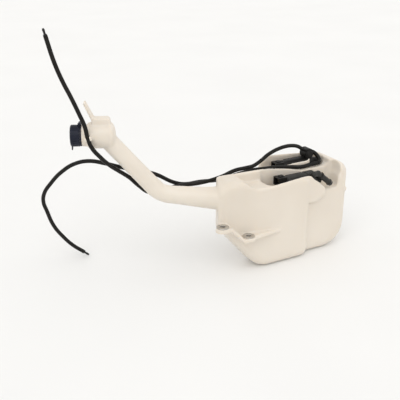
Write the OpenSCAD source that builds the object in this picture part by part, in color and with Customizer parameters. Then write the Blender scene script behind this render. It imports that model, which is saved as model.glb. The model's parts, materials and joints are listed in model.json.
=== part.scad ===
// Washer fluid reservoir with two pumps and their hoses, lying on its side. Millimetres.
// X runs along the tank from the neck end to the sump end, Y to the back, Z up.

/* [Tank] */
// overall length of the tank without its neck
tank_l = 270; // [262:1:285]
// overall depth of the tank from front to back
tank_d = 92; // [88:1:110]
// height of the deep block at its neck end
tank_h = 168; // [165:1:174]
// height of the front lobe at its neck end
shoulder_h = 164; // [162:1:170]
// length of the front lobe
lobe_l = 182; // [176:1:183]
// depth of the front lobe
lobe_d = 46.5; // [46:0.5:48]
// how far the sump end is set back from the front face
step_d = 12; // [8:1:14]
// where the deep block begins
deep_x = 126; // [118:1:130]
// thickness of the moulded wall
wall = 2.5; // [2:0.1:3]
// radius of the lobe's front edges
edge_r = 14; // [12:1:18]

/* [Neck] */
// where the neck's axis leaves the tank, measured to the back
neck_y = 27; // [24:1:30]
// height of the neck's axis at the tank's end face
neck_z = 135; // [131:1:138]
// turn of the neck to the back, in degrees
neck_turn = 25; // [20:1:30]
// rise of the first run, in degrees
rise = 7; // [5:1:9]
// rise of the second run, in degrees
slant = 49; // [46:1:51]
// distance along the neck to the first bend
bend_u = 80; // [77:1:83]
// distance along the neck to the filler head's bend
head_u = 164.5; // [162:0.5:167]
// outside radius of the neck at the tank
root_r = 17; // [16:0.5:18]
// outside radius of the neck at the first bend
neck_r = 14; // [13:0.5:14]
// outside radius of the filler head
head_r = 20; // [19:0.5:22]
// length of the filler head from its bend
head_l = 22.5; // [22:0.5:26]
// outside radius of the filler mouth under the cap
mouth_r = 14.3; // [13:0.1:15]

/* [Cap] */
// outside radius of the cap
cap_r = 16.5; // [16.2:0.1:18]
// length of the cap
cap_l = 14; // [12:0.5:18]
// gap between the cap and the mouth
cap_gap = 0.3; // [0.2:0.05:0.5]
// radius of the hinge pin
pin_r = 0.9; // [0.7:0.1:1.1]
// running clearance of the hinge pin
pin_gap = 0.05; // [0.03:0.01:0.08]

/* [Mounting lugs] */
// height of the upper lug's seat
seat_hi = 98; // [94:1:102]
// height of the lower lug's seat
seat_lo = 72; // [68:1:76]
// distance between the lugs along the tank
lug_gap = 49; // [44:1:54]
// radius of a lug's plate
lug_r = 11.7; // [11.2:0.1:13]
// thickness of the moulded web
web_t = 7; // [5:0.5:9]
// radius of a ferrule's head
ferrule_r = 10; // [9:0.5:11]
// radius of a ferrule's tube
tube_r = 6.5; // [6:0.1:7.5]
// radius of the bolt hole
bolt_r = 4.3; // [3.3:0.1:5]

/* [Pumps] */
// distance from the sump end back to the front pump's motor tube
pump1_back = 127; // [124:1:130]
// distance from the sump end back to the rear pump's motor tube
pump2_back = 102; // [100:1:106]
// radius of the front pump's housing
pump1_r = 15; // [14:0.25:15.25]
// radius of the rear pump's housing
pump2_r = 12; // [11:0.25:12.25]
// length of the front pump's motor tube
pump1_l = 40; // [38:1:42]
// length of the rear pump's motor tube
pump2_l = 43; // [41:1:44]
// thickness of the pump housings
shell = 1.8; // [1.5:0.1:2.2]
// radius of a motor shaft
shaft_r = 1; // [0.8:0.1:1.2]
// running clearance of a motor shaft
shaft_gap = 0.05; // [0.03:0.01:0.08]
// radius of an inlet spigot
spigot_r = 5.5; // [5:0.25:6]

/* [Hoses] */
// radius of a hose
hose_r = 3.25; // [2.5:0.25:3.5]

/* [Hidden] */
$fn = 48;

// pump stations: start of the motor tube, then the wet end, lid and inlet boss follow it
pump1_x = tank_l - pump1_back;
pump1_y = 24.5;
pump1_z = 132;
pump2_x = tank_l - pump2_back;
pump2_y = 68.5;
pump2_z = 146;
ring_r = 1;                       // the wet end stands this far outside the motor tube
wet_l = 12;
lid_t = 2.5;
boss_l = 14;
// [x, y, z, length, radius, socket height above the axis]
front = [pump1_x, pump1_y, pump1_z, pump1_l, pump1_r, 9.5];
rear = [pump2_x, pump2_y, pump2_z, pump2_l, pump2_r, 4];
// middle of a pump's inlet boss along X
function boss_x(p) = p[0] + p[3] + wet_l + lid_t + boss_l / 2;
// pockets: [low x, high x, low y, high y, floor height]
clear = 0.3;                      // gap between pieces that only pass each other
under_gap = 2;                    // a pump's wet end stands this far above its pocket's floor
pocket1 = [pump1_x - 43, boss_x(front) + 41, pump1_y - 17, pump1_y + 16.6,
    pump1_z - pump1_r - ring_r - under_gap];
pocket2 = [deep_x - 14, boss_x(rear) + 15.5, pump2_y - 13.7, tank_d - 9,
    pump2_z - pump2_r - ring_r - under_gap];
seat_gap = 0.05;                  // gap all round a tube or plug in its hole
lug_y = ferrule_r + clear;        // the ferrule heads stand just clear of the tank's front
grommet_r = 8.5;
grommet_rim = 2.3;
grommet_lip = under_gap - clear;

// rear pump's valve chamber, its two outlets and the U elbow on the right one
valve_z = 18.5;
valve_r = 9;
valve_x = pump2_l + wet_l / 2;
out_a = 29;                       // rise of the left outlet
out_l = 17;
out_r = 9.8;                      // length of the right outlet
elbow_r = 5.2;
elbow_top = [pump2_x + valve_x + out_r, pump2_y + 1, pump2_z + valve_z];
elbow_low = [elbow_top[0], pump2_y - 20.5, pump2_z + 4];
elbow_span = elbow_low - elbow_top;

// neck line in its own upright plane: u outward, z up
bend1 = [bend_u, neck_z + bend_u * tan(rise)];
head_z = bend1[1] + (head_u - bend_u) * tan(slant);
bend_r = 36;
bend_t = bend_r * tan((slant - rise) / 2);
run1_end = bend1 - bend_t * [cos(rise), sin(rise)];
run2_start = bend1 + bend_t * [cos(slant), sin(slant)];
run2_l = norm([head_u, head_z] - run2_start);
bend_c = run1_end + bend_r * [-sin(rise), cos(rise)];
slant_r = neck_r - 0.3;
neck_wall = 2.2;
head_back = 19.5;                 // how far the head reaches behind its bend
head_end = head_u + head_l;
collar_l = 9;
ring_u = head_end + collar_l + 0.2;
ring_l = 2.4;
cap_u = ring_u + ring_l + 0.4;
cap_top = 2.4;
cap_edge = 1.4;
seal_t = 1.4;
mouth_u = cap_u + cap_l - cap_top - seal_t - cap_gap;
mouth_in = 1.5;                   // how far the mouth draws in, so that the cap swings off it
mouth_bore = mouth_r - mouth_in - 1.9;
hinge = [cap_u - 0.1, cap_r + 2.4];
knuckle_r = 2;

// the part stands on the middle of its base
pip_h = 2;
far_u = cap_u + cap_l;
x_low = -far_u * cos(neck_turn) - (cap_r - cap_edge) * sin(neck_turn);
x_high = tank_l + pip_h;
y_high = neck_y + (far_u - cap_edge) * sin(neck_turn) + cap_r * cos(neck_turn);
y_low = -lug_y - lug_r;
module place() { translate([-(x_low + x_high) / 2, -(y_low + y_high) / 2, 0]) children(); }

// rounded outlines: [x, z, corner radius], anticlockwise
lobe_line = [[0, shoulder_h, 24], [0, 95, 12], [82, 0, 36], [lobe_l, 0, 14], [lobe_l, shoulder_h - 15, 12],
    [118, shoulder_h - 3, 30]];
deep_line = [[deep_x, tank_h, 26], [deep_x, 24, 18], [deep_x + 22, 0, 18], [tank_l, 0, 44],
    [tank_l, tank_h - 13, 22]];
function box_line(b, r) = [[b[0], b[2], r], [b[1], b[2], r], [b[1], b[3], r], [b[0], b[3], r]];

function unit(v) = v / norm(v);
function left(v) = [-v[1], v[0]];
function flat(p) = [p[0], p[1]];
// inward normals of the edges before and after corner i
function normals(p, i) = let (n = len(p), a = flat(p[(i + n - 1) % n]), b = flat(p[i]),
    c = flat(p[(i + 1) % n])) [left(unit(b - a)), left(unit(c - b))];
function inset(p, d) = [for (i = [0 : len(p) - 1]) let (m = normals(p, i))
    concat(flat(p[i]) + (m[0] + m[1]) * d / (1 + m[0] * m[1]),
        [max((len(p[i]) > 2 ? p[i][2] : 0) - d, 0.8)])];
function turned(a, b, t) = let (w = acos(a * b)) (sin((1 - t) * w) * a + sin(t * w) * b) / sin(w);
function rounded(p, k = 5) = [for (i = [0 : len(p) - 1]) let (m = normals(p, i), r = p[i][2],
    c = flat(p[i]) + (m[0] + m[1]) * r / (1 + m[0] * m[1]))
    for (j = [0 : k]) c + r * turned(-m[0], -m[1], j / k)];
// depth and inset along a rounded edge
function edge(y, r, way) = [for (j = [0 : 4]) let (t = 22.5 * (way > 0 ? j : 4 - j))
    [y + way * r * (1 - cos(t)), r * (1 - sin(t))]];
function reversed(v) = [for (i = [len(v) - 1 : -1 : 0]) v[i]];

// closed skin over a list of rings of equal length
module skin(rings, flip = false) {
    n = len(rings[0]);
    m = len(rings);
    faces = concat([[for (i = [n - 1 : -1 : 0]) i]], [[for (i = [0 : n - 1]) (m - 1) * n + i]],
        [for (l = [0 : m - 2], i = [0 : n - 1]) let (j = (i + 1) % n)
            [i + l * n, j + l * n, j + l * n + n, i + l * n + n]]);
    polyhedron(points = [for (r = rings) each r], faces = flip ? [for (f = faces) reversed(f)] : faces);
}
// block with rounded front and back edges, from an outline seen from the front
module block(line, y0, y1, r0, r1, w = 0)
    skin([for (s = concat(edge(y0 + w, r0 - w, 1), edge(y1 - w, r1 - w, -1)))
        [for (p = rounded(inset(line, s[1] + w))) [p[0], s[0], p[1]]]]);
// pocket open at the top, with a rounded floor edge
module pocket(b, w = 0)
    skin([for (s = concat(edge(b[4] - w, 3 + w, 1), [[b[4] + 90, -3]]))
        [for (p = rounded(inset(box_line(b, 10), s[1] - w), 4)) [p[0], p[1], s[0]]]], true);
// prism across the tank, from a profile seen from the front
module across(line, y0, y1)
    translate([0, y1, 0]) rotate([90, 0, 0]) linear_extrude(y1 - y0) polygon([for (p = line) flat(p)]);
module cut(line, y0, y1, w) across(w > 0 ? inset(line, -w) : line, y0 - w, y1 + w);
module rod(x0, x1, r) translate([x0, 0, 0]) rotate([0, 90, 0]) cylinder(h = x1 - x0, r = r);

// where the tank's top is cut down, anticlockwise: the front pocket's lip, the ridge behind that pocket, the
// groove for hose B, the open end of that groove, the rear pocket's front sill and the gap in it
function shifted(x, line) = [for (p = line) [p[0] + x, p[1]]];
lip_line = shifted(pump1_x, [[-103, 200], [-96, 162], [-85, 151], [-70, 144], [-39, 144], [10, 148], [25, 149.5],
    [37, 148], [46, 139.5], [55.5, 133.5], [70, 121], [80, 116], [97, 122], [107, 140], [113, 200]]);
// low wall in front of the front pump's wet end
guard_line = [[pump1_x + 15, 152, 4], [pump1_x + 15, 100, 10], [pump1_x + 52, 94, 10], [pump1_x + 72, 106, 9],
    [pump1_x + 72, 152, 4]];
guard_y = 3;
groove_z = elbow_low[2] - 5.5;
gap_x = elbow_top[0];
groove_line = shifted(pump2_x, [[-60, 200], [-56, 152], [-28, 153], [-3, 149.3], [14, groove_z + 0.5],
    [28, groove_z + 0.3], [31, 200]]);
open_line = [[lobe_l + 1, 200], [lobe_l + 3, groove_z], [gap_x + 10, groove_z], [gap_x + 17, 151],
    [gap_x + 20.5, 200]];
ridge_line = shifted(pump2_x, [[-58, 200], [-50, 160.5], [-44, 159.3], [-25, 156], [-6, 152.3], [5, 149],
    [16, 146.6], [20, 200]]);
sill_line = [[pump2_x - 54, 200], [pump2_x - 50, 151], [pump2_x - 28, 153.5], [pump2_x - 16, 156],
    [gap_x - 18, 156.5], [gap_x - 13, 200]];
gap_line = [[gap_x - 17, 200], [gap_x - 13, groove_z + 1.5], [gap_x - 9, groove_z - 0.4],
    [gap_x + 11, groove_z - 0.4], [gap_x + 18, 150], [gap_x + 22, 200]];
groove_y = [lobe_d - 2.7, pocket2[2] - 3.6];
// the end under the neck stands square to the neck
end_u = (0.24 * edge_r - neck_y) * sin(neck_turn);
module end_cut(w) in_neck() translate([end_u - w, -60, -5]) cube([60, 60 + lobe_d, 2 * tank_h]);

module tank_shape(w = 0) {
    difference() {
        union() {
            block(lobe_line, 0, lobe_d, edge_r, 6, w);
            block(deep_line, step_d, tank_d, 14, 8, w);
            block(guard_line, guard_y, step_d + 14, 7, 4, w);
        }
        end_cut(w);
        pocket(pocket1, w);
        pocket(pocket2, w);
        cut(lip_line, -5, pocket1[3] - 4, w);
        cut(ridge_line, pocket1[3] - 4.3, groove_y[0] + 0.5, w);
        cut(groove_line, groove_y[0], groove_y[1], w);
        cut(sill_line, groove_y[1] - 0.4, pocket2[2] + 5.3, w);
        cut(open_line, pocket1[3] - 8, groove_y[1] - 0.2, w);
        cut(gap_line, groove_y[0] + 1, pocket2[2] + 5, w);
    }
}

module in_neck() { translate([0, neck_y, 0]) rotate([0, 0, 180 - neck_turn]) children(); }
// turned piece on the filler axis, from a profile of [radius, u]
module lathe(p) translate([0, 0, head_z]) rotate([0, 90, 0]) rotate_extrude() polygon(p);
module neck_run(w = 0) {
    back = 22;
    start = [0, neck_z] - back * [cos(rise), sin(rise)];
    translate([start[0], 0, start[1]]) rotate([0, 90 - rise, 0])
        cylinder(h = norm(run1_end - start), r1 = root_r + 1.5 - w, r2 = neck_r - w);
    translate([bend_c[0], 0, bend_c[1]]) rotate([90, 0, 0]) rotate([0, 0, rise - 90])
        rotate_extrude(angle = slant - rise) translate([bend_r, 0]) circle(r = neck_r - w);
    translate([run2_start[0], 0, run2_start[1]]) rotate([0, 90 - slant, 0])
        cylinder(h = run2_l + 3, r1 = neck_r - w, r2 = slant_r - w);
    // low beads that join the runs to the bend
    bead = neck_r - w + (w > 0 ? 0.3 : 0.6);
    for (b = [[run1_end, rise], [run2_start, slant]])
        translate([b[0][0], 0, b[0][1]]) rotate([0, 90 - b[1], 0])
            translate([0, 0, -2]) cylinder(h = 4, r = bead);
}
// flare where the neck leaves the tank, from the end face to the first run
module root_flare(w = 0) in_neck() hull() {
    translate([0, 0, neck_z - 1]) rod(end_u - 5 - w, end_u - 4 - w, root_r + 2 - w);
    translate([15.5, 0, neck_z + 15.5 * tan(rise)]) rotate([0, 90 - rise, 0])
        cylinder(h = 1, r = root_r - 0.9 - w);
}
// closed end of the filler head
function dome(r, w = 0, k = 6) = [for (i = [0 : k])
    [r * sin(90 * i / k), head_u - head_back + w + (8 - w / 2) * (1 - cos(90 * i / k))]];
module head_outer() lathe(concat(dome(head_r), [[head_r, head_end - 2], [head_r - 1.5, head_end],
    [cap_r, head_end], [cap_r, head_end + collar_l - 1], [cap_r - 1, head_end + collar_l],
    [mouth_r, head_end + collar_l], [mouth_r, cap_u + 1.5], [mouth_r - mouth_in, mouth_u - 0.5],
    [mouth_r - mouth_in - 0.5, mouth_u], [0, mouth_u]]));
module head_inner() lathe(concat(dome(head_r - neck_wall, neck_wall), [[head_r - neck_wall, head_end - 5],
    [mouth_bore, head_end - 1], [mouth_bore, mouth_u + 1], [0, mouth_u + 1]]));
// plate on top of the head with a fin that leans out over the mouth
module hook_tab() {
    top = head_z + head_r;
    translate([0, 9, 0]) rotate([90, 0, 0]) linear_extrude(18)
        polygon([for (p = [[-12, -6], [15.5, -6], [15.5, 4], [27, 31], [24.5, 33], [12.5, 8], [-9, 8],
            [-12, 4]])
            [head_u, top] + p]);
}
// small open clip that holds hose A against the head
clip_at = [head_u + 20.5, -25, 2];
module hose_clip() {
    translate([clip_at[0], 0, head_z + clip_at[2]]) rotate([0, 14, 0]) difference() {
        translate([-5.5, 14, -4]) cube([11, 15.5, 8]);
        translate([0, -clip_at[1], -10]) cylinder(h = 20, r = hose_r + 0.2);
        translate([-2.4, -clip_at[1], -10]) cube([4.8, 10, 20]);
    }
}

// web along the parting line, cut to its plan and to its stepped side line
function arc(c, r, a0, a1, k = 8) = [for (i = [0 : k]) let (t = a0 + (a1 - a0) * i / k)
    c + r * [cos(t), sin(t)]];
web_top = [[-30, seat_hi], [11.5, seat_hi], [lug_gap - 12, seat_lo], [lug_gap + 14, seat_lo],
    [lug_gap + 75, seat_lo - 5]];
web_plan = concat([[lug_gap + 75, 20], [12, 20], [8, 10]], arc([0, -lug_y], lug_r, 165, 290),
    arc([lug_gap, -lug_y], lug_r, 245, 330), [[lug_gap + 73, 0]]);
module web() intersection() {
    across(concat([for (p = reversed(web_top)) p], [for (p = web_top) p - [0, web_t]]), -40, 25);
    translate([0, 0, 40]) linear_extrude(80) polygon(web_plan);
}
module at_lugs() {
    translate([0, -lug_y, seat_hi]) children();
    translate([lug_gap, -lug_y, seat_lo]) children();
}
module at_grommets() {
    translate([boss_x(front), pump1_y, pocket1[4]]) children();
    translate([boss_x(rear), pump2_y, pocket2[4]]) children();
}

// the bottle is one moulding, parted at plain planes so that each node keeps a simple form
part_z = pocket1[4] - wall - 0.5;
part_y = lobe_d + 1.5;
part_u = 20;
part_s = 28.5;
big = 2 * tank_l;
module above() translate([-big, -big, part_z]) cube([2 * big, 2 * big, big]);
module below() translate([-big, -big, part_z - big]) cube([2 * big, 2 * big, big]);
module behind() translate([-big, part_y, -1]) cube([2 * big, big, big]);
module ahead() translate([-big, part_y - big, -1]) cube([2 * big, big, big]);
module past_root() in_neck() translate([part_u, -big, -1]) cube([big, 2 * big, big]);
module past_slant() in_neck() translate([head_u, 0, head_z]) rotate([0, 90 - slant, 0])
    translate([-100, -100, -part_s]) cube([200, 200, 250]);

milk = [0.93, 0.91, 0.85];
// low pip on the sump end
pip_at = [22, 103];
module tank() place() color(milk) difference() {
    union() {
        tank_shape();
        web();
        translate([0, pip_at[0], pip_at[1]]) rod(tank_l - 2, x_high, 5);
    }
    tank_shape(wall);
    at_lugs() translate([0, 0, -web_t - 5]) cylinder(h = web_t + 10, r = tube_r + seat_gap);
    above();
}
module tank_top_front() place() color(milk) difference() {
    union() {
        tank_shape();
        root_flare();
        in_neck() neck_run();
    }
    tank_shape(wall);
    root_flare(neck_wall);
    in_neck() neck_run(neck_wall);
    at_grommets() translate([0, 0, -12]) cylinder(h = 20, r = grommet_r);
    below();
    behind();
    past_root();
}
module tank_top_back() place() color(milk) difference() {
    tank_shape();
    tank_shape(wall);
    at_grommets() translate([0, 0, -12]) cylinder(h = 20, r = grommet_r);
    below();
    ahead();
}
module filler_neck() place() color(milk) intersection() {
    difference() {
        in_neck() neck_run();
        in_neck() neck_run(neck_wall);
        past_slant();
    }
    past_root();
}
module filler_head() place() color(milk) intersection() {
    difference() {
        in_neck() { neck_run(); head_outer(); hook_tab(); hose_clip(); }
        in_neck() { neck_run(neck_wall); head_inner(); }
    }
    past_slant();
}

module ferrules() place() color([0.55, 0.56, 0.57]) at_lugs() difference() {
    union() {
        cylinder(h = 1.6, r = ferrule_r);
        translate([0, 0, -web_t - 0.6]) cylinder(h = web_t + 1, r = tube_r);
    }
    translate([0, 0, -web_t - 5]) cylinder(h = web_t + 10, r = bolt_r);
}

// cap, its strap ring and its seal, on the filler axis
module at_hinge() { translate([hinge[0], 0, head_z + hinge[1]]) rotate([90, 0, 0]) children(); }
module filler_cap() place() color([0.05, 0.06, 0.1]) in_neck() {
    difference() {
        lathe([[mouth_r + cap_gap, cap_u], [cap_r - 0.6, cap_u], [cap_r, cap_u + 0.6],
            [cap_r, cap_u + cap_l - cap_edge], [cap_r - cap_edge, cap_u + cap_l],
            [0, cap_u + cap_l], [0, cap_u + cap_l - cap_top],
            [mouth_r + cap_gap, cap_u + cap_l - cap_top]]);
        for (i = [0 : 23]) translate([cap_u + 3, 0, head_z]) rotate([i * 15, 0, 0])
            translate([0, -0.5, cap_r - 0.5]) cube([cap_l - 6, 1, 2]);
    }
    // pull tab
    translate([cap_u + cap_l - 2.2, -4, head_z - cap_r - 5]) cube([1.6, 8, 7]);
    // hinge ears and pin
    for (s = [-1, 1]) translate([0, s * 4.1, 0]) {
        at_hinge() translate([0, 0, -1.2]) cylinder(h = 2.4, r = knuckle_r);
        translate([hinge[0] + 0.1, -1.2, head_z + cap_r - 1.5]) cube([3, 2.4, 3.2]);
    }
    at_hinge() translate([0, 0, -4.5]) cylinder(h = 9, r = pin_r);
}
module cap_ring() place() color([0.05, 0.06, 0.1]) in_neck() difference() {
    union() {
        lathe([[mouth_r + seat_gap, ring_u], [cap_r - 0.4, ring_u], [cap_r - 0.4, ring_u + ring_l],
            [mouth_r + seat_gap, ring_u + ring_l]]);
        translate([ring_u, -2.5, head_z + cap_r - 1.2]) cube([ring_l, 5, 3.8]);
        at_hinge() translate([0, 0, -2.5]) cylinder(h = 5, r = knuckle_r);
    }
    at_hinge() translate([0, 0, -5]) cylinder(h = 10, r = pin_r + pin_gap);
}
module cap_seal() place() color([0.12, 0.12, 0.12]) in_neck()
    lathe([[mouth_r - 3.5, mouth_u + cap_gap], [mouth_r - 0.2, mouth_u + cap_gap],
        [mouth_r - 0.2, mouth_u + cap_gap + seal_t], [mouth_r - 3.5, mouth_u + cap_gap + seal_t]]);

// pumps, each on its own axis along X
module at_pump(p) { translate([p[0], p[1], p[2]]) children(); }
module pump_body(p) {
    l = p[3];
    r = p[4];
    difference() {
        union() {
            rod(0, l, r);
            rod(l - 0.5, l + wet_l, r + ring_r);
            for (a = [30 : 60 : 330]) rotate([a, 0, 0]) translate([4, -1, r - 1]) cube([l - 8, 2, 1.8]);
            children(0);
        }
        rod(-1, l - 3, r - shell);
        rod(l - 4, l + 1, 4.5);
        rod(l, l + wet_l + 1, r - 2.6);
        children(1);
    }
}
module pump_socket(p) translate([-20, -8, p[5] - 7]) difference() {
    cube([16.5, 16, 14]);
    translate([-1, 1.4, 1.4]) cube([13, 13.2, 11.2]);
}
module pump_cover(p) difference() {
    union() {
        rod(-4, 0, p[4]);
        rod(-0.5, 2, p[4] - shell - seat_gap);
        pump_socket(p);
        translate([-15, -3, p[5] + 6.5]) cube([8, 6, 2]);
    }
    rod(0.5, 3, p[4] - shell - 1.4);
    terminal_pair(p);
}
module terminal_pair(p) for (s = [-1, 1]) translate([-14, s * 3.5 - 0.4, p[5] - 2.5]) cube([13.5, 0.8, 5]);
module motor_can(p) {
    r = p[4] - shell;
    difference() {
        rod(2.5, p[3] - 3, r);
        rod(4, p[3] - 4.5, r - 1.2);
        rod(0, p[3], shaft_r + shaft_gap);
    }
}
module motor_rotor(p) {
    r = p[4] - shell - 2;
    l = p[3];
    rod(2.8, l + wet_l - 3, shaft_r);
    difference() {
        rod(14, l - 12, r);
        for (a = [0 : 60 : 300]) rotate([a, 0, 0]) translate([13, -1, r - 3]) cube([l, 2, 4]);
    }
    rod(8, 14, 3);
}
module pump_impeller(p) {
    r = p[4] - 4;
    l = p[3];
    difference() {
        union() {
            rod(l + 1.5, l + 3, r);
            rod(l + 1.5, l + 9, 3);
            for (a = [0 : 60 : 300]) rotate([a, 0, 0])
                translate([l + 2.5, -0.7, 2]) cube([5.5, 1.4, r - 2.6]);
        }
        rod(l, l + wet_l, shaft_r);
    }
}
module pump_seal(p) difference() {
    rod(p[3] - 3, p[3], 4.5);
    rod(p[3] - 4, p[3] + 1, shaft_r + shaft_gap);
}
module pump_lid(p) {
    x = p[3] + wet_l;
    b = p[4] * 0.62;
    drop = p[2] - (p[1] == pump1_y ? pocket1[4] : pocket2[4]) + 10;
    difference() {
        union() {
            rod(x, x + lid_t, p[4] + ring_r);
            rod(x - 1.5, x + 1, p[4] - 2.6 - seat_gap);
            rod(x + 1, x + lid_t + boss_l, b);
            translate([x + lid_t + boss_l / 2, 0, -drop]) cylinder(h = drop, r = spigot_r);
        }
        rod(x - 2, x + lid_t + boss_l / 2, 4);
        translate([x + lid_t + boss_l / 2, 0, -drop - 1]) cylinder(h = drop + 1, r = 3.8);
    }
}
module inlet_grommet(p) {
    b = p[1] == pump1_y ? pocket1 : pocket2;
    translate([boss_x(p), p[1], b[4]]) rotate_extrude() polygon([[spigot_r + seat_gap, -7], [spigot_r + 2.5, -7],
        [grommet_r + 1.8, -wall - 0.2], [grommet_r - 0.1, -wall], [grommet_r - 0.1, 0],
        [grommet_r + grommet_rim, 0], [grommet_r + grommet_rim, grommet_lip - 0.8],
        [grommet_r + 1.5, grommet_lip], [spigot_r + seat_gap, grommet_lip]]);
}

// front pump outlet: out of the wet end, along X, then down to the barbed tip
nozzle_a = 39;
nozzle_x = 9;
nozzle_l = 36;
nozzle_out = pump1_r + ring_r + 5.4;
module at_nozzle() translate([pump1_l + wet_l / 2 + nozzle_x, -nozzle_out / sqrt(2), nozzle_out / sqrt(2)])
    rotate([0, nozzle_a, 0]) children();
module front_outlet(r) {
    x = pump1_l + wet_l / 2;
    c = nozzle_out / sqrt(2);
    rotate([45, 0, 0]) translate([x, 0, 8]) cylinder(h = nozzle_out - 8, r = r);
    translate([x, -c, c]) { sphere(r = r + 0.4); rod(0, nozzle_x, r); }
    at_nozzle() { sphere(r = r + 0.4); rod(0, nozzle_l, r); }
}
module front_barb() at_nozzle() {
    rod(7, 9, 6.2);
    translate([nozzle_l - 5, 0, 0]) rotate([0, 90, 0]) cylinder(h = 3, r1 = 5.8, r2 = 4.6);
}
module front_bore() {
    c = nozzle_out / sqrt(2);
    x = pump1_l + wet_l / 2;
    rotate([45, 0, 0]) translate([x, 0, 6]) cylinder(h = nozzle_out - 5, r = 2.5);
    translate([x, -c, c]) rod(-3.2, nozzle_x + 1.5, 3);
    at_nozzle() rod(-1, nozzle_l + 1, 2.7);
}
module front_pump_housing() place() color([0.1, 0.1, 0.1]) at_pump(front) pump_body(front) {
    union() { front_outlet(4.8); front_barb(); }
    front_bore();
}

// rear pump: upright duct to a round valve chamber with an outlet on each side
module left_outlet() translate([valve_x, -3, valve_z + 3]) rotate([0, out_a - 180, 0]) children();
module right_outlet() translate([valve_x, 1, valve_z]) children();
module outlet_tube(l) {
    rod(0, l, 3);
    rod(l - 4.5, l - 3, 3.5);
}
module valve_chamber() {
    translate([valve_x, 0, 8]) cylinder(h = valve_z - 8, r = 5);
    translate([valve_x, 8, valve_z]) rotate([90, 0, 0]) cylinder(h = 16, r = valve_r);
    left_outlet() outlet_tube(out_l);
    right_outlet() rod(0, out_r, 3);
}
module valve_hollow() {
    translate([valve_x, 0, 4]) cylinder(h = valve_z - 4, r = 2.6);
    translate([valve_x, 5.5, valve_z]) rotate([90, 0, 0]) cylinder(h = 14, r = valve_r - 2);
    left_outlet() rod(2, out_l + 1, 1.8);
    right_outlet() rod(2, out_r + 1, 1.8);
    // room for the lid's edge
    rod(pump2_l + wet_l, pump2_l + wet_l + lid_t + clear, pump2_r + ring_r + clear);
}
module rear_pump_housing() place() color([0.07, 0.07, 0.07]) at_pump(rear) pump_body(rear) {
    valve_chamber();
    valve_hollow();
}
module valve_cover() place() color([0.09, 0.09, 0.09]) at_pump(rear)
    translate([valve_x, -8, valve_z]) rotate([90, 0, 0]) {
        cylinder(h = 2, r = valve_r - 1);
        translate([0, 0, 1.5]) cylinder(h = 1.6, r = valve_r - 3.5);
    }
module valve_diaphragm() place() color([0.15, 0.15, 0.15]) at_pump(rear)
    translate([valve_x, -0.5, valve_z]) rotate([90, 0, 0]) cylinder(h = 1.2, r = valve_r - 2);

module front_pump_cover() place() color([0.08, 0.08, 0.08]) at_pump(front) pump_cover(front);
module front_pump_terminals() place() color([0.75, 0.6, 0.3]) at_pump(front) terminal_pair(front);
module front_pump_motor() place() color([0.6, 0.6, 0.62]) at_pump(front) motor_can(front);
module front_pump_rotor() place() color([0.45, 0.4, 0.35]) at_pump(front) motor_rotor(front);
module front_pump_impeller() place() color([0.85, 0.85, 0.8]) at_pump(front) pump_impeller(front);
module front_pump_seal() place() color([0.1, 0.1, 0.1]) at_pump(front) pump_seal(front);
module front_pump_lid() place() color([0.09, 0.09, 0.09]) at_pump(front) pump_lid(front);
module front_pump_grommet() place() color([0.12, 0.12, 0.12]) inlet_grommet(front);
module rear_pump_cover() place() color([0.06, 0.06, 0.06]) at_pump(rear) pump_cover(rear);
module rear_pump_terminals() place() color([0.75, 0.6, 0.3]) at_pump(rear) terminal_pair(rear);
module rear_pump_motor() place() color([0.6, 0.6, 0.62]) at_pump(rear) motor_can(rear);
module rear_pump_rotor() place() color([0.45, 0.4, 0.35]) at_pump(rear) motor_rotor(rear);
module rear_pump_impeller() place() color([0.85, 0.85, 0.8]) at_pump(rear) pump_impeller(rear);
module rear_pump_seal() place() color([0.1, 0.1, 0.1]) at_pump(rear) pump_seal(rear);
module rear_pump_lid() place() color([0.07, 0.07, 0.07]) at_pump(rear) pump_lid(rear);
module rear_pump_grommet() place() color([0.12, 0.12, 0.12]) inlet_grommet(rear);

// U elbow from the right outlet down to the start of hose B: two bends with a cuff between them
module elbow_solid(r, cuff) {
    span = norm(elbow_span);
    translate([0, elbow_r, 0]) rotate([0, 0, -90])
        rotate_extrude(angle = 90) translate([elbow_r, 0]) circle(r = r);
    translate([0, span - elbow_r, 0]) rotate_extrude(angle = 90) translate([elbow_r, 0]) circle(r = r);
    translate([elbow_r, elbow_r - 0.8, 0]) rotate([-90, 0, 0])
        cylinder(h = span - 2 * elbow_r + 1.6, r = cuff);
}
module hose_elbow() place() color([0.05, 0.05, 0.05]) translate(elbow_top)
    rotate([atan2(elbow_span[2], elbow_span[1]), 0, 0]) difference() {
        elbow_solid(3.6, 3.9);
        elbow_solid(1.9, 2.1);
    }

// hose routes, end to end
left_way = [-cos(out_a), 0, sin(out_a)];
nozzle_tip = [pump2_x + valve_x, pump2_y - 3, pump2_z + valve_z + 3] + out_l * left_way;
// the stretches over the tank follow the rear pump along X
route_x = 168;
function over(line) = [for (p = line) [p[0] > 0 ? p[0] * pump2_x / route_x : p[0], p[1], p[2]]];
route_a = concat([nozzle_tip, nozzle_tip + 9 * left_way], over([[181, 65, 183.5], [169.5, 65, 184], [154, 65, 182],
    [143, 65, 179], [132, 65, 174.5], [121, 64, 168.5], [111, 63, 164], [101.5, 62, 161], [88, 61, 160.5],
    [64.5, 60, 160], [35, 58, 154], [-2, 60, 150], [-31, 74.5, 146], [-46, 79.5, 143], [-63.5, 81, 140],
    [-82, 82.5, 141.5], [-98, 84.5, 154.5], [-111.5, 88, 169], [-121.5, 87.5, 177.5], [-130.5, 85.5, 184.5],
    [-149, 83, 200], [-161.5, 81.5, 213.5], [-173.5, 81.5, 229.5], [-178.5, 82.5, 244], [-181.5, 84, 262.5],
    [-188, 87, 282], [-197, 92, 307], [-206, 98, 330.5], [-214.5, 102.5, 357.5], [-222, 109.5, 394]]));
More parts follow.
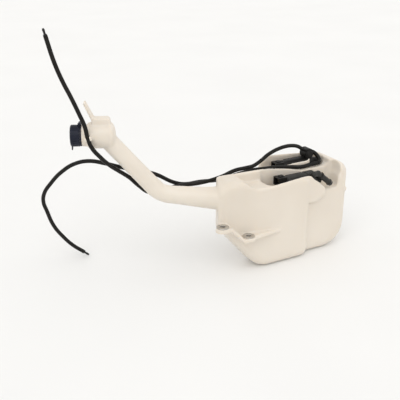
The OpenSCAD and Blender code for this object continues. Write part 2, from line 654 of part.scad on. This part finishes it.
route_b = concat([elbow_low, elbow_low - [10, 0, 0]], over([[204.5, 47.5, 149], [192.5, 47.5, 148.5],
    [165, 47.5, 153], [139, 47.5, 157], [119, 49, 157.5], [96, 54, 157], [84, 57, 155], [65, 61, 151.5],
    [39, 66, 146.5], [5, 72, 147],
    [-18, 81.5, 144], [-33.5, 86.5, 147.5], [-66, 93, 166], [-94, 99.5, 175.5], [-119.5, 108, 182.5],
    [-140, 119, 188.5], [-160, 131.5, 192], [-178.5, 145.5, 187], [-196.5, 163, 171], [-211.5, 178.5, 149],
    [-221, 191, 127.5], [-222, 195.5, 112], [-217, 197.5, 94], [-206.5, 199.5, 63.5], [-192.5, 197.5, 41],
    [-178, 194, 23.5], [-161.5, 187, 10]]));
function along(p, i) = unit(p[min(i + 1, len(p) - 1)] - p[max(i - 1, 0)]);
module tube(p, r, sides = 8) skin([for (i = [0 : len(p) - 1])
    let (t = along(p, i), s = unit(cross(t, [0, 1, 0])), u = cross(s, t))
    [for (j = [0 : sides - 1]) let (a = 360 * j / sides) p[i] + r * (cos(a) * s + sin(a) * u)]]);
module hose_a() place() color([0.05, 0.05, 0.05]) tube(route_a, hose_r);
module hose_b() place() color([0.05, 0.05, 0.05]) tube(route_b, hose_r);
// nipple pushed on the end of a hose, pointing along its last stretch
module nipple(p) {
    e = p[len(p) - 1];
    t = along(p, len(p) - 1);
    translate(e) rotate([0, acos(t[2]), atan2(t[1], t[0])]) rotate_extrude($fn = 24)
        polygon([[0, 0], [2.9, 0], [2.9, 1.6], [1.7, 2.2], [1.7, 6.5], [2.2, 7], [1.3, 10.5], [0, 10.5]]);
}
module hose_a_tip() place() color([0.2, 0.2, 0.2]) nipple(route_a);
module hose_b_tip() place() color([0.3, 0.3, 0.3]) nipple(route_b);

tank();
tank_top_front();
tank_top_back();
filler_neck();
filler_head();
ferrules();
filler_cap();
cap_ring();
cap_seal();
front_pump_housing();
front_pump_cover();
front_pump_terminals();
front_pump_motor();
front_pump_rotor();
front_pump_impeller();
front_pump_seal();
front_pump_lid();
front_pump_grommet();
rear_pump_housing();
rear_pump_cover();
rear_pump_terminals();
rear_pump_motor();
rear_pump_rotor();
rear_pump_impeller();
rear_pump_seal();
rear_pump_lid();
rear_pump_grommet();
valve_cover();
valve_diaphragm();
hose_elbow();
hose_a();
hose_b();
hose_a_tip();
hose_b_tip();
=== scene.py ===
"""Washer fluid reservoir: its looks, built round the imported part, in metres, in the part's own frame."""

import json
import math

import bmesh
import bpy
import numpy as np
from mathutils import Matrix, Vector

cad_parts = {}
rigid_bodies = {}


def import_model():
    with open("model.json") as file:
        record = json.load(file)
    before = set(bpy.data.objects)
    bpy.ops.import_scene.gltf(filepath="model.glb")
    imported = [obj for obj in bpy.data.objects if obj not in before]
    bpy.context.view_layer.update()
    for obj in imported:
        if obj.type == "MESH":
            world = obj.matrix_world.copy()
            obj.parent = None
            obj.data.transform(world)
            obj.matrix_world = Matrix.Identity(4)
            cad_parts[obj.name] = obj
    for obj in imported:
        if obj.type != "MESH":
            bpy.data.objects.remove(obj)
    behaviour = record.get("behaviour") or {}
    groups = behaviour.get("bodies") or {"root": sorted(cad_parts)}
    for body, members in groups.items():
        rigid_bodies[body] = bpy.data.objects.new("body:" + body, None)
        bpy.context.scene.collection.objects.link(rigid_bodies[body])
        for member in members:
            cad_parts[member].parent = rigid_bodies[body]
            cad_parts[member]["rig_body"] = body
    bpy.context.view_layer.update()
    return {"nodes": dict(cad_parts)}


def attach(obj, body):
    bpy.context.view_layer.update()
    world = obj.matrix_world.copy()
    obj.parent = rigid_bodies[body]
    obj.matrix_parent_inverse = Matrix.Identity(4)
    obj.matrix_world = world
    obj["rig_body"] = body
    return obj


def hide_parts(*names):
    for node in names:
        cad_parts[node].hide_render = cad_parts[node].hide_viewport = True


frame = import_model()
nodes = frame["nodes"]
scene = bpy.context.scene

# Points closer than this are one point
WELD = 2e-6


def add(name, data):
    ob = bpy.data.objects.new(name, data)
    scene.collection.objects.link(ob)
    return ob


def aim(ob, way):
    """Turns a camera or a light to look along the given way."""
    ob.rotation_mode = "QUATERNION"
    ob.rotation_quaternion = way.to_track_quat("-Z", "Y")


def paint(data, mat):
    data.materials.clear()
    data.materials.append(mat)


def shade_smooth(mesh):
    for face in mesh.polygons:
        face.use_smooth = True


# Camera, at the photograph's viewing angle
EYE = Vector((-0.5511, -0.9206, 0.5478))
TARGET = Vector((0.0978, 0.2502, 0.0070))
SENSOR_MM = 36
LENS_MM = 63
CLIP_START = 0.05
CLIP_END = 40

camera = add("camera", bpy.data.cameras.new("camera"))
camera.data.sensor_width = SENSOR_MM
camera.data.lens = LENS_MM
camera.data.clip_start = CLIP_START
camera.data.clip_end = CLIP_END
camera.location = EYE
aim(camera, TARGET - EYE)
scene.camera = camera
scene.view_settings.view_transform = "Standard"


# Materials
def material(name):
    mat = bpy.data.materials.new("look_" + name)
    mat.use_nodes = True
    tree = mat.node_tree
    return mat, tree, tree.nodes["Principled BSDF"]


def noise(tree, scale, detail, rough=0.5, coords=None):
    node = tree.nodes.new("ShaderNodeTexNoise")
    node.inputs["Scale"].default_value = scale
    node.inputs["Detail"].default_value = detail
    node.inputs["Roughness"].default_value = rough
    if coords is None:
        coords = tree.nodes.new("ShaderNodeTexCoord").outputs["Object"]
    tree.links.new(coords, node.inputs["Vector"])
    return node.outputs["Fac"]


def tint(tree, bsdf, fac, low, high, start, end):
    """Base colour that goes from low to high as fac goes from start to end."""
    node = tree.nodes.new("ShaderNodeValToRGB")
    for stop, place, colour in zip(node.color_ramp.elements, (start, end), (low, high)):
        stop.position = place
        stop.color = (*colour, 1.0)
    tree.links.new(fac, node.inputs["Fac"])
    tree.links.new(node.outputs["Color"], bsdf.inputs["Base Color"])


def roughen(tree, bsdf, fac, low, high):
    """Roughness that goes from low to high with fac."""
    node = tree.nodes.new("ShaderNodeMapRange")
    node.inputs["To Min"].default_value = low
    node.inputs["To Max"].default_value = high
    tree.links.new(fac, node.inputs["Value"])
    tree.links.new(node.outputs["Result"], bsdf.inputs["Roughness"])


def bump(tree, bsdf, height, strength, distance):
    node = tree.nodes.new("ShaderNodeBump")
    node.inputs["Strength"].default_value = strength
    node.inputs["Distance"].default_value = distance
    tree.links.new(height, node.inputs["Height"])
    tree.links.new(node.outputs["Normal"], bsdf.inputs["Normal"])


def plastic(name, low, high, rough, grain=900):
    """Moulded plastic or rubber with faint blotches, uneven gloss and a fine grain."""
    mat, tree, bsdf = material(name)
    bsdf.inputs["Specular IOR Level"].default_value = 0.2
    tint(tree, bsdf, noise(tree, scale=60, detail=4), low, high, start=0.35, end=0.7)
    roughen(tree, bsdf, noise(tree, scale=140, detail=3), rough - 0.06, rough + 0.08)
    bump(tree, bsdf, noise(tree, scale=grain, detail=2), strength=0.12, distance=0.0003)
    return mat


def metal(name, low, high, rough, fineness):
    """Plated or bare metal, whose grain is finer or coarser along each axis by its fineness."""
    mat, tree, bsdf = material(name)
    bsdf.inputs["Metallic"].default_value = 1.0
    coords = tree.nodes.new("ShaderNodeTexCoord")
    scaled = tree.nodes.new("ShaderNodeMapping")
    scaled.inputs["Scale"].default_value = fineness
    tree.links.new(coords.outputs["Object"], scaled.inputs["Vector"])
    grain = noise(tree, scale=400, detail=4, rough=0.6, coords=scaled.outputs["Vector"])
    tint(tree, bsdf, grain, low, high, start=0.3, end=0.75)
    roughen(tree, bsdf, grain, rough - 0.08, rough + 0.1)
    bump(tree, bsdf, grain, strength=0.1, distance=0.0002)
    return mat


def tank_plastic():
    """Cloudy, translucent blow-moulded plastic."""
    mat, tree, bsdf = material("tank_plastic")
    cloud = noise(tree, scale=9, detail=3, rough=0.45)
    tint(tree, bsdf, cloud, (0.70, 0.632, 0.545), (0.755, 0.692, 0.61), start=0.3, end=0.72)
    roughen(tree, bsdf, noise(tree, scale=45, detail=3), 0.34, 0.48)
    bsdf.inputs["IOR"].default_value = 1.5
    bsdf.inputs["Subsurface Weight"].default_value = 0.4
    bsdf.inputs["Subsurface Radius"].default_value = (1.0, 0.9, 0.75)
    bsdf.inputs["Subsurface Scale"].default_value = 0.004
    bump(tree, bsdf, noise(tree, scale=130, detail=4, rough=0.6), strength=0.10, distance=0.0006)
    return mat


def floor_paper():
    mat, tree, bsdf = material("floor_paper")
    mottle = noise(tree, scale=3, detail=2)
    tint(tree, bsdf, mottle, (0.83, 0.83, 0.825), (0.85, 0.85, 0.845), start=0.3, end=0.7)
    bsdf.inputs["Roughness"].default_value = 0.7
    return mat


TANK = tank_plastic()
HOSE = plastic("hose_rubber", (0.005, 0.0045, 0.0035), (0.011, 0.010, 0.008), rough=0.42, grain=500)
PUMP = plastic("pump_plastic", (0.006, 0.0055, 0.005), (0.015, 0.014, 0.013), rough=0.40)
# The front pump housing's plastic: the pump plastic painted lighter as a painted highlight, and a little
# glossier
PUMP_PAINTED_HIGHLIGHT = plastic("pump_painted_highlight", (0.022, 0.021, 0.019), (0.040, 0.038, 0.035), rough=0.36)
CAP = plastic("cap_plastic", (0.006, 0.008, 0.018), (0.014, 0.017, 0.032), rough=0.40)
RUBBER = plastic("seal_rubber", (0.015, 0.015, 0.015), (0.03, 0.03, 0.03), rough=0.62, grain=700)
TIP = plastic("tip_plastic", (0.012, 0.012, 0.012), (0.026, 0.026, 0.026), rough=0.42)
WHITE = plastic("impeller_plastic", (0.72, 0.72, 0.68), (0.82, 0.82, 0.78), rough=0.45)
STEEL = metal("ferrule_steel", (0.46, 0.44, 0.41), (0.66, 0.63, 0.59), rough=0.45, fineness=(1, 1, 1))
CAN = metal("motor_steel", (0.45, 0.45, 0.47), (0.65, 0.65, 0.67), rough=0.32, fineness=(0.1, 1, 1))
IRON = metal("rotor_steel", (0.22, 0.17, 0.13), (0.42, 0.35, 0.29), rough=0.5, fineness=(4, 1, 1))
BRASS = metal("terminal_brass", (0.55, 0.42, 0.2), (0.72, 0.58, 0.32), rough=0.34, fineness=(0.2, 1, 1))

# Tank: its nodes joined to one moulding, with the edges blended softly
MOULDING = ["tank", "tank_top_front", "tank_top_back", "filler_neck", "filler_head"]
VOXEL = 0.0011
SOFTENING_ROUNDS = 22
SOFTENING_STEP = 0.5
SKIN_TRIANGLES = 170000

# Places on the moulding, in the millimetres of the part's source
ORIGIN_MM = np.array((36.2875, 54.6901, 0.0))
NECK_TURN = math.radians(25)
NECK_Y = 27
# distance along the neck where the change to the head begins, and how long it is
HEAD_FROM = 130
HEAD_BLEND = 15
# depth where the change to the web and the lugs begins, how long it is, and their upper and right ends
WEB_Y = 1.5
WEB_BLEND = 3
WEB_TOP = 104
WEB_END = 130
# share of the softening that the head, the web and the lugs are spared
SPARED = 0.8


def joined(name, parts):
    bm = bmesh.new()
    for part in parts:
        bm.from_mesh(nodes[part].data)
    bmesh.ops.remove_doubles(bm, verts=bm.verts, dist=WELD)
    mesh = bpy.data.meshes.new(name)
    bm.to_mesh(mesh)
    bm.free()
    return mesh


def apply_modifiers(ob):
    """Puts the object's modifiers into its mesh, in place of the old one."""
    bpy.context.view_layer.update()
    made = bpy.data.meshes.new_from_object(ob.evaluated_get(bpy.context.evaluated_depsgraph_get()))
    ob.modifiers.clear()
    old = ob.data
    ob.data = made
    bpy.data.meshes.remove(old)


def skin_weight(co):
    """Full on the bottle, light on the head with its tab and clip, on the web and on the lugs."""
    x, y, z = (co * 1000 + ORIGIN_MM).T
    along_neck = -x * math.cos(NECK_TURN) + (y - NECK_Y) * math.sin(NECK_TURN)
    head = np.clip((along_neck - HEAD_FROM) / HEAD_BLEND, 0, 1)
    web = np.clip((WEB_Y - y) / WEB_BLEND, 0, 1) * (z < WEB_TOP) * (x < WEB_END)
    return 1 - SPARED * np.maximum(head, web)


def soften(mesh):
    """Evens the skin out: each point moves towards the middle of its neighbours, by its own weight."""
    n = len(mesh.vertices)
    co = np.empty(n * 3)
    mesh.vertices.foreach_get("co", co)
    co = co.reshape(-1, 3)
    ends = np.empty(len(mesh.edges) * 2, int)
    mesh.edges.foreach_get("vertices", ends)
    a, b = ends.reshape(-1, 2).T
    count = np.bincount(a, minlength=n) + np.bincount(b, minlength=n)
    weight = skin_weight(co)[:, None]
    for _ in range(SOFTENING_ROUNDS):
        total = np.stack([np.bincount(a, co[b, k], n) + np.bincount(b, co[a, k], n) for k in range(3)], 1)
        co = co + SOFTENING_STEP * weight * (total / count[:, None] - co)
    mesh.vertices.foreach_set("co", co.ravel())
    mesh.update()


def tank_skin():
    tank = add("tank_skin", joined("tank_skin", MOULDING))
    remesh = tank.modifiers.new("voxels", "REMESH")
    remesh.mode = "VOXEL"
    remesh.voxel_size = VOXEL
    apply_modifiers(tank)
    soften(tank.data)
    triangles = 2 * len(tank.data.polygons)
    fewer = tank.modifiers.new("fewer", "DECIMATE")
    fewer.ratio = min(1.0, SKIN_TRIANGLES / triangles)
    apply_modifiers(tank)
    shade_smooth(tank.data)
    paint(tank.data, TANK)
    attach(tank, "reservoir")
    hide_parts(*MOULDING)


tank_skin()

# Moulded and turned pieces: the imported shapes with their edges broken
FLAT_ANGLE = math.radians(1.5)
EDGE_ANGLE = math.radians(38)
EDGE_SEGMENTS = 2

# node: material, slot and width of the broken edges
PIECES = {
    "ferrules": (STEEL, "ferrule_steel", 0.0004),
    "filler_cap": (CAP, "cap_plastic", 0.0003),
    "cap_ring": (CAP, "cap_plastic", 0.0003),
    # the front pump housing takes the lighter pump plastic, a painted highlight
    "front_pump_housing": (PUMP_PAINTED_HIGHLIGHT, "pump_plastic", 0.0004),
    "front_pump_cover": (PUMP, "pump_plastic", 0.0004),
    "front_pump_lid": (PUMP, "pump_plastic", 0.0005),
    "rear_pump_housing": (PUMP, "pump_plastic", 0.0004),
    "rear_pump_cover": (PUMP, "pump_plastic", 0.0004),
    "rear_pump_lid": (PUMP, "pump_plastic", 0.0005),
    "valve_cover": (PUMP, "pump_plastic", 0.0006),
    "hose_a_tip": (TIP, "tip_plastic", 0.0002),
    "hose_b_tip": (TIP, "tip_plastic", 0.0002),
    "front_pump_grommet": (RUBBER, "seal_rubber", 0.0004),
    "rear_pump_grommet": (RUBBER, "seal_rubber", 0.0004),
}


def refine(node, mat, slot, width):
    bm = bmesh.new()
    bm.from_mesh(nodes[node].data)
    bmesh.ops.remove_doubles(bm, verts=bm.verts, dist=WELD)
    bmesh.ops.dissolve_limit(bm, angle_limit=FLAT_ANGLE, verts=bm.verts, edges=bm.edges)
    mesh = bpy.data.meshes.new(node + "_look")
    bm.to_mesh(mesh)
    bm.free()
    shade_smooth(mesh)
    mesh.set_sharp_from_angle(angle=EDGE_ANGLE)
    paint(mesh, mat)
    piece = add(node + "_look", mesh)
    bevel = piece.modifiers.new("edges", "BEVEL")
    bevel.width = width
    bevel.segments = EDGE_SEGMENTS
    bevel.limit_method = "ANGLE"
    bevel.angle_limit = EDGE_ANGLE
    bevel.use_clamp_overlap = True
    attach(piece, nodes[node]["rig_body"])
    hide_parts(node)
    return piece


pieces = {node: refine(node, *look) for node, look in PIECES.items()}

# Inner pieces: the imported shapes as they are
INNER = [
    (RUBBER, "seal_rubber", ["cap_seal", "front_pump_seal", "rear_pump_seal", "valve_diaphragm"]),
    (BRASS, "terminal_brass", ["front_pump_terminals", "rear_pump_terminals"]),
    (CAN, "motor_steel", ["front_pump_motor", "rear_pump_motor"]),
    (IRON, "rotor_steel", ["front_pump_rotor", "rear_pump_rotor"]),
    (WHITE, "impeller_plastic", ["front_pump_impeller", "rear_pump_impeller"]),
]
for mat, slot, names in INNER:
    for name in names:
        paint(nodes[name].data, mat)

# Hoses: one smooth tube each, along the part's own route
HOSE_WIDTH = 0.0065
ROUTE_A = [
    (0.1658, 0.0108, 0.1757), (0.1580, 0.0108, 0.1801), (0.1447, 0.0103, 0.1835), (0.1332, 0.0103, 0.1840),
    (0.1177, 0.0103, 0.1820), (0.1067, 0.0103, 0.1790), (0.0957, 0.0103, 0.1745), (0.0847, 0.0093, 0.1685),
    (0.0747, 0.0083, 0.1640), (0.0652, 0.0073, 0.1610), (0.0517, 0.0063, 0.1605), (0.0282, 0.0053, 0.1600),
    (-0.0013, 0.0033, 0.1540), (-0.0383, 0.0053, 0.1500), (-0.0673, 0.0198, 0.1460),
    (-0.0823, 0.0248, 0.1430), (-0.0998, 0.0263, 0.1400), (-0.1183, 0.0278, 0.1415),
    (-0.1343, 0.0298, 0.1545), (-0.1478, 0.0333, 0.1690), (-0.1578, 0.0328, 0.1775),
    (-0.1668, 0.0308, 0.1845), (-0.1853, 0.0283, 0.2000), (-0.1978, 0.0268, 0.2135),
    (-0.2098, 0.0268, 0.2295), (-0.2148, 0.0278, 0.2440), (-0.2178, 0.0293, 0.2625),
    (-0.2243, 0.0323, 0.2820), (-0.2333, 0.0373, 0.3070), (-0.2423, 0.0433, 0.3305),
    (-0.2508, 0.0478, 0.3575), (-0.2583, 0.0548, 0.3940),
]
ROUTE_B = [
    (0.1905, -0.0067, 0.1500), (0.1805, -0.0067, 0.1500), (0.1682, -0.0072, 0.1490),
    (0.1562, -0.0072, 0.1485), (0.1287, -0.0072, 0.1530), (0.1027, -0.0072, 0.1570),
    (0.0827, -0.0057, 0.1575), (0.0597, -0.0007, 0.1570), (0.0477, 0.0023, 0.1550), (0.0287, 0.0063, 0.1515),
    (0.0027, 0.0113, 0.1465), (-0.0313, 0.0173, 0.1470), (-0.0543, 0.0268, 0.1440),
    (-0.0698, 0.0318, 0.1475), (-0.1023, 0.0383, 0.1660), (-0.1303, 0.0448, 0.1755),
    (-0.1558, 0.0533, 0.1825), (-0.1763, 0.0643, 0.1885), (-0.1963, 0.0768, 0.1920),
    (-0.2148, 0.0908, 0.1870), (-0.2328, 0.1083, 0.1710), (-0.2478, 0.1238, 0.1490),
    (-0.2573, 0.1363, 0.1275), (-0.2583, 0.1408, 0.1120), (-0.2533, 0.1428, 0.0940),
    (-0.2428, 0.1448, 0.0635), (-0.2288, 0.1428, 0.0410), (-0.2143, 0.1393, 0.0235),
    (-0.1978, 0.1323, 0.0100),
]

# U elbow: a half ellipse from the rear pump's right outlet down to the start of hose B
ELBOW_RADIUS = 0.0036
ELBOW_REACH = 0.008
ELBOW_RISE = (0, 0.0215, 0.0145)
# length of a handle that makes a quarter of an ellipse, as a share of the half axis it lies along
QUARTER = 0.5523


def tube(name, radius, steps, count):
    """Curve of a round tube, and its points, which are to be placed before the tube is fitted."""
    curve = bpy.data.curves.new(name, "CURVE")
    curve.dimensions = "3D"
    curve.resolution_u = steps
    curve.bevel_depth = radius
    curve.bevel_resolution = 6
    curve.use_fill_caps = True
    line = curve.splines.new("BEZIER")
    line.bezier_points.add(count - 1)
    return curve, line.bezier_points


def fit(curve, node):
    """Piece made from the curve, in place of a node."""
    curve.materials.append(HOSE)
    piece = add(curve.name, curve)
    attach(piece, "reservoir")
    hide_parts(node)
    return piece


def hose(node, route):
    curve, points = tube(node + "_line", HOSE_WIDTH / 2, steps=10, count=len(route))
    for point, co in zip(points, route):
        point.co = co
        point.handle_left_type = "AUTO"
        point.handle_right_type = "AUTO"
    piece = fit(curve, node)


def u_elbow(low):
    curve, points = tube("hose_elbow_look", ELBOW_RADIUS, steps=14, count=3)
    rise = Vector(ELBOW_RISE)
    out = Vector((ELBOW_REACH, 0, 0))
    places = [low + rise, low + rise / 2 + out, low]
    handles = [out * QUARTER, -rise / 2 * QUARTER, -out * QUARTER]
    for point, co, handle in zip(points, places, handles):
        point.handle_left_type = "FREE"
        point.handle_right_type = "FREE"
        point.co = co
        point.handle_left = co - handle
        point.handle_right = co + handle
    fit(curve, "hose_elbow")


hose("hose_a", ROUTE_A)
hose("hose_b", ROUTE_B)
u_elbow(Vector(ROUTE_B[0]))

# Floor and light
FLOOR_HALF = 12
WORLD_COLOUR = (1.0, 0.99, 0.97, 1)
WORLD_STRENGTH = 0.93


def plane(name, half):
    mesh = bpy.data.meshes.new(name)
    corners = [(-half, -half, 0), (half, -half, 0), (half, half, 0), (-half, half, 0)]
    mesh.from_pydata(corners, [], [(0, 1, 2, 3)])
    return add(name, mesh)


def sun(name, way, strength, spread_deg):
    data = bpy.data.lights.new(name, "SUN")
    data.energy = strength
    data.angle = math.radians(spread_deg)
    aim(add(name, data), Vector(way))


floor = plane("floor", FLOOR_HALF)
paint(floor.data, floor_paper())

scene.world = bpy.data.worlds.new("studio")
scene.world.use_nodes = True
background = scene.world.node_tree.nodes["Background"]
background.inputs["Color"].default_value = WORLD_COLOUR
background.inputs["Strength"].default_value = WORLD_STRENGTH

sun("key", way=(0.55, 0.55, -0.8), strength=0.8, spread_deg=50)
sun("fill", way=(-0.8, 0.5, -0.5), strength=0.28, spread_deg=60)
